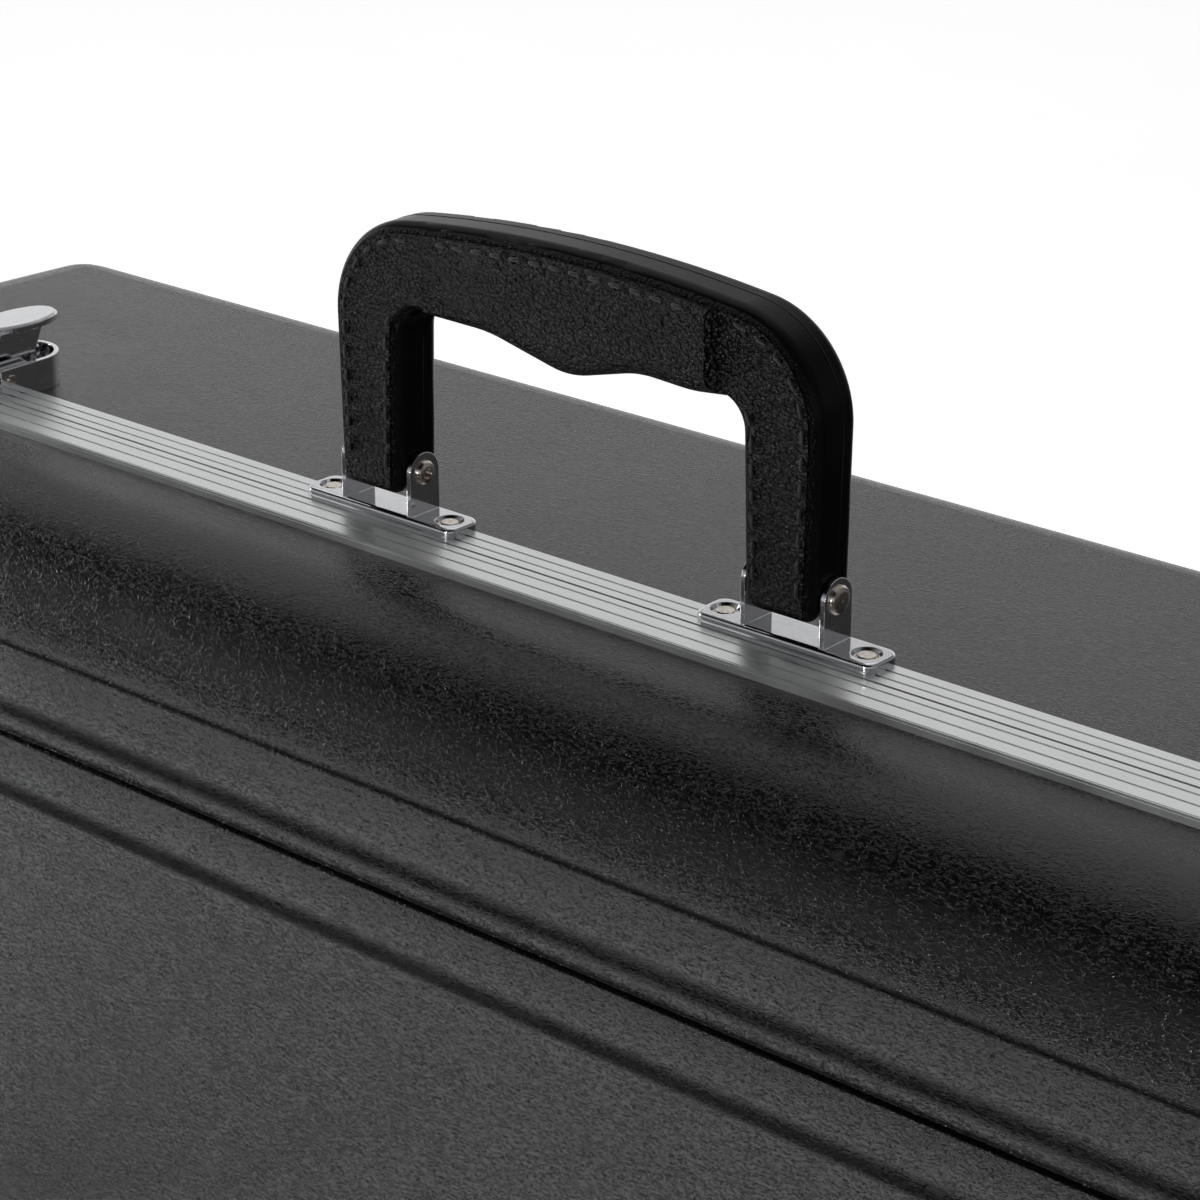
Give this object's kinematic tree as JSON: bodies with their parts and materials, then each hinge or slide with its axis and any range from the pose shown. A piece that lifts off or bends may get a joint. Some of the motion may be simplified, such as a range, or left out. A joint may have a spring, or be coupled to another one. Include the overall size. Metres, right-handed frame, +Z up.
{
  "type": "alto saxophone case",
  "caption": "Moulded rectangular case for an alto saxophone, with a hinged ribbed lid, aluminium valances, draw latches, a folding handle and a padded interior.",
  "frame": {"origin": "bottom centre of the bounding box: the floor plane under the feet, midway along the length and the depth", "axes": "+X along the case's length, +Y from the lid's face to the base's face, +Z up, towards the handle"},
  "size_m": [0.6232, 0.1756, 0.3782],
  "materials": {
    "moulded_shell": "leather-grained",
    "valance": "satin",
    "hardware": "polished",
    "rivet_metal": "warm nickel",
    "foot_rubber": "matte",
    "handle_plastic": "semi-gloss",
    "grained_vinyl": "leather-grained, stitched",
    "plush_lining": "plush"
  },
  "bodies": {
    "base": {"base_shell": "moulded_shell", "base_valance": "valance", "hinge_base_leaves": "hardware", "hinge_pins": "rivet_metal", "feet": "foot_rubber", "handle_bracket_left": "hardware", "handle_bracket_right": "hardware", "handle_pin_left": "rivet_metal", "handle_pin_right": "rivet_metal", "bracket_rivets": "rivet_metal", "latch_base_left": "hardware", "latch_base_right": "hardware", "latch_pivot_pin_left": "rivet_metal", "latch_pivot_pin_right": "rivet_metal", "floor_pad": "plush_lining", "hinge_side_pad": "plush_lining", "handle_side_pad": "plush_lining", "bow_end_pad": "plush_lining", "neck_block": "plush_lining", "accessory_box": "plush_lining", "bell_brace": "plush_lining", "bell_saddle": "plush_lining"},
    "lid": {"lid_shell": "moulded_shell", "lid_valance": "valance", "hinge_lid_leaves": "hardware", "latch_catch_left": "hardware", "latch_catch_right": "hardware", "lid_pad": "plush_lining"},
    "handle": {"handle_body": "handle_plastic", "handle_inserts": "grained_vinyl", "handle_grip": "grained_vinyl"},
    "latch_lever_left": {"latch_lever_left": "hardware", "latch_link_pin_left": "rivet_metal"},
    "latch_loop_left": {"latch_loop_left": "hardware"},
    "latch_lever_right": {"latch_lever_right": "hardware", "latch_link_pin_right": "rivet_metal"},
    "latch_loop_right": {"latch_loop_right": "hardware"}
  },
  "joints": [
    {"name": "lid_hinge", "type": "hinge", "parent": "base", "child": "lid", "pos_m": [0, -0.03425, 0.00605], "axis": [1, 0, 0], "range_deg": [0, 100]},
    {"name": "handle_hinge", "type": "hinge", "parent": "base", "child": "handle", "pos_m": [0, -0.02775, 0.3137], "axis": [1, 0, 0], "range_deg": [-85, 85]},
    {"name": "latch_lever_left_hinge", "type": "hinge", "parent": "base", "child": "latch_lever_left", "pos_m": [-0.205, -0.03025, 0.3052], "axis": [1, 0, 0], "range_deg": [0, 90]},
    {"name": "latch_loop_left_hinge", "type": "hinge", "parent": "latch_lever_left", "child": "latch_loop_left", "pos_m": [-0.205, -0.02225, 0.3047], "axis": [1, 0, 0], "range_deg": [-90, 0]},
    {"name": "latch_lever_right_hinge", "type": "hinge", "parent": "base", "child": "latch_lever_right", "pos_m": [0.205, -0.03025, 0.3052], "axis": [1, 0, 0], "range_deg": [0, 90]},
    {"name": "latch_loop_right_hinge", "type": "hinge", "parent": "latch_lever_right", "child": "latch_loop_right", "pos_m": [0.205, -0.02225, 0.3047], "axis": [1, 0, 0], "range_deg": [-90, 0]}
  ],
  "couplings": [
    {"joint": "latch_loop_left_hinge", "follows": "latch_lever_left_hinge", "ratio": -1},
    {"joint": "latch_loop_right_hinge", "follows": "latch_lever_right_hinge", "ratio": -1}
  ]
}
